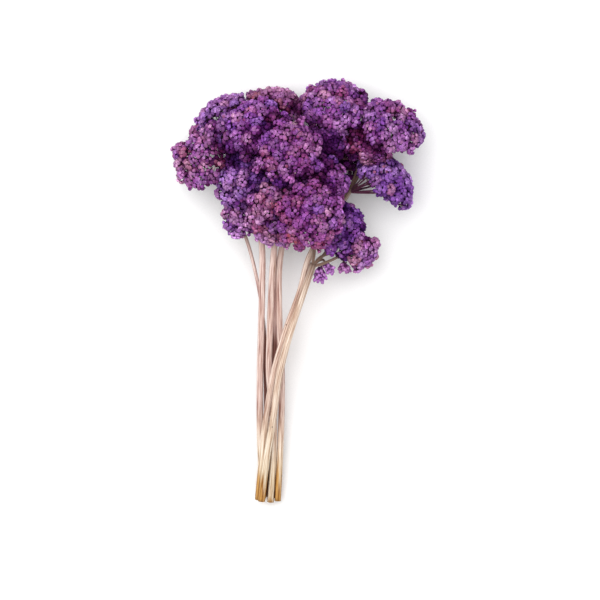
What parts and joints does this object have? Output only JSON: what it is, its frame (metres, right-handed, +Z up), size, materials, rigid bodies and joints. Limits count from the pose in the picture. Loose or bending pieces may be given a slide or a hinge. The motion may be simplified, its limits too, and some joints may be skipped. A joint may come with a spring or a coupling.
{
  "type": "dried yarrow bunch",
  "caption": "Loose bunch of dried yarrow dyed purple: straight pale stems that fork into wide domed heads crowded with small flowers, laid on a table",
  "frame": {"origin": "On the table that the bunch lies on, under the middle of its bounding box", "axes": "+Z up from the table, +Y from the cut ends of the stems to the flower heads, +X to the right of the picture"},
  "size_m": [0.2035, 0.3431, 0.0871],
  "materials": {
    "straw": "dry, pale, finely grooved",
    "flowers_violet": "dry, matt, dyed",
    "flowers_purple": "dry, matt, dyed",
    "flowers_mauve": "dry, matt, dyed",
    "flowers_plum": "dry, matt, dyed",
    "flowers_rose": "dry, matt, dyed"
  },
  "bodies": {
    "root": {"head_centre_low": "flowers_plum", "head_centre_high": "flowers_mauve", "head_lower_middle": "flowers_rose", "head_upper_left_front": "flowers_purple", "head_centre": "flowers_purple", "head_left": "flowers_violet", "head_lower_left": "flowers_mauve", "head_inner_right": "flowers_violet", "head_far_right": "flowers_purple", "head_far_left": "flowers_mauve", "head_top_right": "flowers_purple", "head_upper_left": "flowers_purple", "head_right_inner": "flowers_rose", "head_low_right_lobe": "flowers_mauve", "head_low_right": "flowers_violet", "head_right": "flowers_violet", "head_top_left": "flowers_rose", "head_under_left": "flowers_mauve", "head_under_right": "flowers_purple", "bud_cluster_left": "flowers_mauve", "bud_cluster_right": "flowers_plum", "stalk_1": "straw", "stalk_2": "straw", "stalk_3": "straw", "stalk_4": "straw", "stalk_5": "straw", "stalk_6": "straw", "stalk_7": "straw"}
  },
  "joints": []
}
